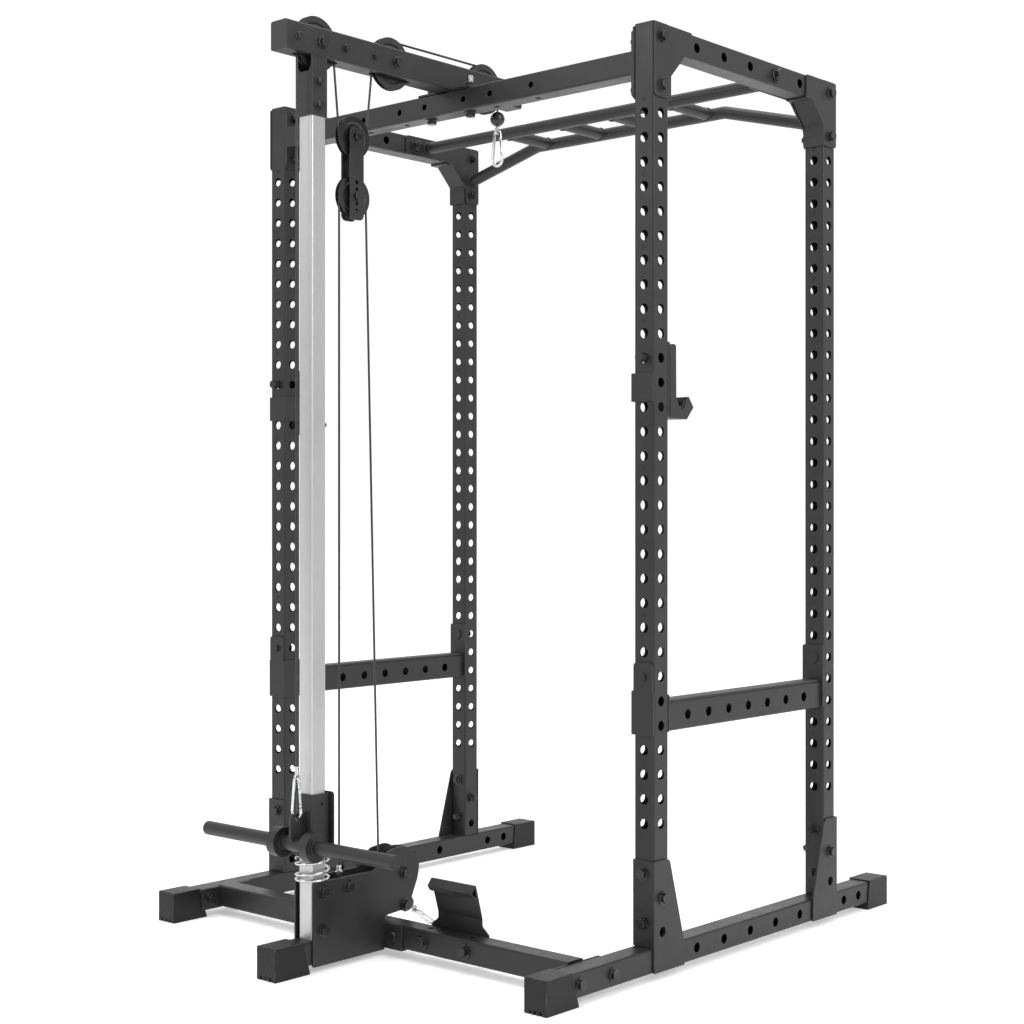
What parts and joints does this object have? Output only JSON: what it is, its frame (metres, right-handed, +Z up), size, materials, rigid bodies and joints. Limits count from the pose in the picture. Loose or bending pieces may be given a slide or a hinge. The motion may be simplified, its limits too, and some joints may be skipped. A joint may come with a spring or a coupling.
{
  "type": "power cage",
  "caption": "Four-post power cage with a rear cable tower for lat pull-down and low row, hinged J-hooks, swing-away safeties and a bent pull-up bar.",
  "frame": {"origin": "centre of the footprint box, on the floor", "axes": "+X to the right, +Y towards the front opening, the cable tower stands at -Y, +Z up"},
  "size_m": [1.2088, 1.459, 1.984],
  "materials": {
    "frame_black": "satin black powder coat",
    "rubber_black": "matte rubber",
    "plastic_black": "matte",
    "pulley_nylon": "satin",
    "ball_black": "satin",
    "tube_silver": "satin silver",
    "chrome_bright": "bright",
    "bolt_black": "black oxide",
    "zinc_plate": "zinc",
    "cable_black": "satin"
  },
  "bodies": {
    "root": {"base_rails": "frame_black", "buffer_spring": "chrome_bright", "cable_fixed_wraps": "cable_black", "corner_brackets": "frame_black", "foot_brackets": "frame_black", "foot_caps": "rubber_black", "foot_plates": "frame_black", "frame_bolts": "bolt_black", "frame_nuts": "bolt_black", "lat_beam": "frame_black", "lat_cable_block_runs": "cable_black", "lat_cable_carriage_run": "cable_black", "lat_cable_front_run": "cable_black", "low_cable_anchor": "chrome_bright", "low_cable_block_runs": "cable_black", "low_cable_front_run": "cable_black", "low_cross_member": "frame_black", "mast_tube": "tube_silver", "pulley_axles": "bolt_black", "pulley_spacers": "zinc_plate", "pullup_bar": "frame_black", "top_cross_member": "frame_black", "top_rails": "frame_black", "tower_base_rail": "frame_black", "tower_bracket": "frame_black", "tower_plates": "frame_black", "tube_caps": "plastic_black", "upright_front_left": "frame_black", "upright_front_right": "frame_black", "upright_rear_left": "frame_black", "upright_rear_right": "frame_black"},
    "carriage": {"carriage_sleeve": "frame_black", "carriage_bushes": "plastic_black", "weight_horn": "frame_black", "carriage_carabiner": "chrome_bright"},
    "carriage_gate_arm": {"carriage_gate": "chrome_bright"},
    "lat_end": {"lat_ball_stop": "ball_black", "lat_carabiner": "chrome_bright"},
    "lat_gate_arm": {"lat_gate": "chrome_bright"},
    "low_end": {"low_ball_stop": "ball_black", "low_carabiner": "chrome_bright"},
    "low_gate_arm": {"low_gate": "chrome_bright"},
    "block": {"block_plates": "frame_black", "block_bolts": "bolt_black", "block_cable_wraps": "cable_black"},
    "block_wheel_upper": {"block_pulley_upper": "pulley_nylon"},
    "block_wheel_lower": {"block_pulley_lower": "pulley_nylon"},
    "wheel_rear": {"top_pulley_rear": "pulley_nylon"},
    "wheel_middle": {"top_pulley_middle": "pulley_nylon"},
    "wheel_front": {"top_pulley_front": "pulley_nylon"},
    "wheel_low": {"low_pulley": "pulley_nylon"},
    "hook_left": {"jhook_left": "frame_black", "jhook_liner_left": "plastic_black"},
    "hook_right": {"jhook_right": "frame_black", "jhook_liner_right": "plastic_black"},
    "safety_arm_left": {"safety_left": "frame_black", "safety_liner_left": "plastic_black"},
    "safety_arm_right": {"safety_right": "frame_black", "safety_liner_right": "plastic_black"}
  },
  "joints": [
    {"name": "carriage_lift", "type": "slide", "parent": "root", "child": "carriage", "axis": [0, 0, 1], "range_m": [0, 1.3], "deforming": ["lat_cable_carriage_run"]},
    {"name": "lat_end_travel", "type": "slide", "parent": "root", "child": "lat_end", "axis": [0, 0, -1], "range_m": [0, 1.3], "deforming": ["lat_cable_front_run"]},
    {"name": "wheel_rear_spin", "type": "hinge", "parent": "root", "child": "wheel_rear", "pos_m": [0, -0.5965, 1.927], "axis": [1, 0, 0], "range_deg": [-1500, 5]},
    {"name": "wheel_middle_spin", "type": "hinge", "parent": "root", "child": "wheel_middle", "pos_m": [0, -0.3795, 1.927], "axis": [1, 0, 0], "range_deg": [-1500, 5]},
    {"name": "wheel_front_spin", "type": "hinge", "parent": "root", "child": "wheel_front", "pos_m": [0, -0.0775, 1.927], "axis": [1, 0, 0], "range_deg": [-1500, 5]},
    {"name": "block_wheel_upper_spin", "type": "hinge", "parent": "block", "child": "block_wheel_upper", "pos_m": [0, -0.4895, 1.749], "axis": [1, 0, 0], "range_deg": [-5, 1935]},
    {"name": "low_pull", "type": "slide", "parent": "root", "child": "low_end", "axis": [0, 1, 0], "range_m": [0, 0.8], "stiffness_N_per_m": 40, "springref_m": -0.8, "deforming": ["low_cable_front_run"]},
    {"name": "block_travel", "type": "slide", "parent": "root", "child": "block", "axis": [0, 0, -1], "range_m": [0, 0.4], "deforming": ["lat_cable_block_runs", "low_cable_block_runs"]},
    {"name": "wheel_low_spin", "type": "hinge", "parent": "root", "child": "wheel_low", "pos_m": [0, -0.362, 0.167], "axis": [1, 0, 0], "range_deg": [-5, 920]},
    {"name": "block_wheel_lower_spin", "type": "hinge", "parent": "block", "child": "block_wheel_lower", "pos_m": [0, -0.4895, 1.6225], "axis": [1, 0, 0], "range_deg": [-600, 5]},
    {"name": "carriage_gate_swing", "type": "hinge", "parent": "carriage", "child": "carriage_gate_arm", "pos_m": [0.01325, -0.6465, 0.3444], "axis": [0, -1, 0], "range_deg": [0, 25], "stiffness_Nm_per_rad": 0.02, "springref_deg": -17.19},
    {"name": "lat_gate_swing", "type": "hinge", "parent": "lat_end", "child": "lat_gate_arm", "pos_m": [0.0145, -0.0275, 1.782], "axis": [0, -1, 0], "range_deg": [0, 25], "stiffness_Nm_per_rad": 0.02, "springref_deg": -17.19},
    {"name": "low_gate_swing", "type": "hinge", "parent": "low_end", "child": "low_gate_arm", "pos_m": [0.0145, -0.25914, 0.04333], "axis": [0, -0.5878, -0.809], "range_deg": [0, 25], "stiffness_Nm_per_rad": 0.02, "springref_deg": -17.19},
    {"name": "hook_swing_left", "type": "hinge", "parent": "root", "child": "hook_left", "pos_m": [-0.565, -0.1845, 1.266], "axis": [0, -1, 0], "range_deg": [0, 90]},
    {"name": "hook_swing_right", "type": "hinge", "parent": "root", "child": "hook_right", "pos_m": [0.565, -0.1845, 1.266], "axis": [0, 1, 0], "range_deg": [0, 90]},
    {"name": "safety_swing_left", "type": "hinge", "parent": "root", "child": "safety_arm_left", "pos_m": [-0.565, 0.1405, 0.616], "axis": [0, -1, 0], "range_deg": [0, 90]},
    {"name": "safety_swing_right", "type": "hinge", "parent": "root", "child": "safety_arm_right", "pos_m": [0.565, 0.1405, 0.616], "axis": [0, 1, 0], "range_deg": [0, 90]}
  ],
  "couplings": [
    {"joint": "lat_end_travel", "follows": "carriage_lift", "ratio": 1},
    {"joint": "wheel_rear_spin", "follows": "carriage_lift", "rad_per_m": -20},
    {"joint": "wheel_middle_spin", "follows": "carriage_lift", "rad_per_m": -20},
    {"joint": "wheel_front_spin", "follows": "carriage_lift", "rad_per_m": -20},
    {"joint": "block_wheel_upper_spin", "follows": "carriage_lift", "rad_per_m": 25.907},
    {"joint": "block_travel", "follows": "low_pull", "ratio": 0.5},
    {"joint": "wheel_low_spin", "follows": "low_pull", "rad_per_m": 20},
    {"joint": "block_wheel_lower_spin", "follows": "low_pull", "rad_per_m": -12.953}
  ]
}
